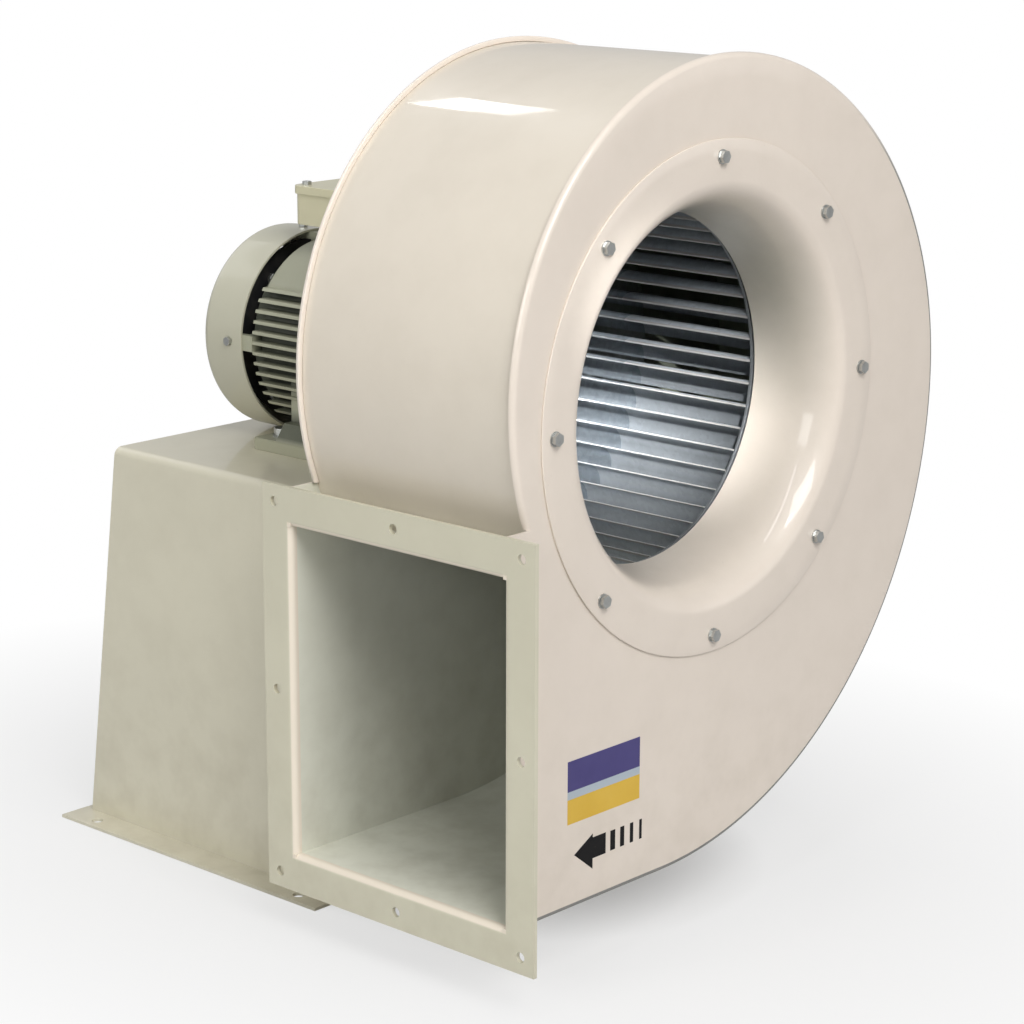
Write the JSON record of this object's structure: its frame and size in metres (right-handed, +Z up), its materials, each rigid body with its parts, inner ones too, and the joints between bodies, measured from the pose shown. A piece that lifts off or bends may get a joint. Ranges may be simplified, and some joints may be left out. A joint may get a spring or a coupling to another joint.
{
  "type": "industrial centrifugal blower",
  "caption": "Single-inlet centrifugal blower: sheet-steel scroll with bell inlet and flanged side outlet, direct-drive wheel, foot motor on a folded pedestal.",
  "frame": {"origin": "middle of the footprint, on the floor under the pedestal's lips", "axes": "the shaft is along Y with the inlet facing -Y and the motor at +Y; the outlet faces -X; +Z is up"},
  "size_m": [0.597, 0.679, 0.779],
  "materials": {
    "front_paint": "glossy cream enamel on sheet steel",
    "casing_paint": "glossy cream enamel on sheet steel",
    "flange_paint": "cream enamel, slightly greener",
    "pedestal_paint": "cream enamel, slightly greener",
    "motor_paint": "beige enamel on cast aluminium",
    "zinc": "bright zinc plating",
    "galvanised": "galvanised sheet, dulled",
    "hub_iron": "machined cast iron",
    "shaft_steel": "ground steel",
    "bearing_steel": "polished bearing steel",
    "laminations": "stacked electrical sheet",
    "cast_rings": "cast aluminium",
    "winding": "varnished copper windings, taped",
    "seal_rubber": "black nitrile rubber",
    "fan_plastic": "black moulded plastic",
    "black_steel": "blackened steel",
    "board": "brown moulding",
    "brass": "plain brass",
    "gland_plastic": "dark moulded plastic"
  },
  "bodies": {
    "housing": {"front_side_plate": "front_paint", "back_side_plate": "casing_paint", "scroll_wrapper": "casing_paint", "cutoff_plate": "casing_paint", "outlet_flange": "flange_paint", "inlet_bell": "front_paint", "inlet_screws": "zinc", "shaft_seal_plate": "galvanised", "seal_plate_screws": "zinc", "stator_core": "laminations", "stator_windings": "winding", "motor_frame": "motor_paint", "drive_end_shield": "motor_paint", "rear_end_shield": "motor_paint", "shield_screws": "zinc", "bearing_outer_rings": "bearing_steel", "shaft_lip_seal": "seal_rubber", "fan_cowl": "motor_paint", "cowl_screws": "zinc", "motor_feet": "motor_paint", "motor_foot_bolts": "zinc", "motor_foot_washers": "zinc", "motor_foot_nuts": "zinc", "terminal_box": "motor_paint", "terminal_box_lid": "motor_paint", "lid_screws": "zinc", "terminal_board": "board", "terminal_studs": "brass", "cable_gland": "gland_plastic", "pedestal_shell": "pedestal_paint", "pedestal_end_panel": "pedestal_paint", "pedestal_front_panel": "pedestal_paint", "pedestal_bolts": "zinc", "pedestal_nuts": "zinc"},
    "rotor": {"wheel_back_disc": "galvanised", "wheel_blades": "galvanised", "wheel_front_ring": "galvanised", "wheel_hub": "hub_iron", "hub_rivets": "zinc", "hub_key": "shaft_steel", "hub_grub_screw": "black_steel", "shaft_end_washer": "zinc", "shaft_end_bolt": "zinc", "motor_shaft": "shaft_steel", "rotor_core": "laminations", "rotor_end_rings": "cast_rings", "bearing_inner_rings": "bearing_steel", "bearing_balls": "bearing_steel", "cooling_fan": "fan_plastic", "fan_retaining_ring": "black_steel"}
  },
  "joints": [
    {"name": "rotor_spin", "type": "hinge", "parent": "housing", "child": "rotor", "pos_m": [-0.0315, -0.0485, 0.483], "axis": [0, 1, 0], "continuous": true}
  ]
}
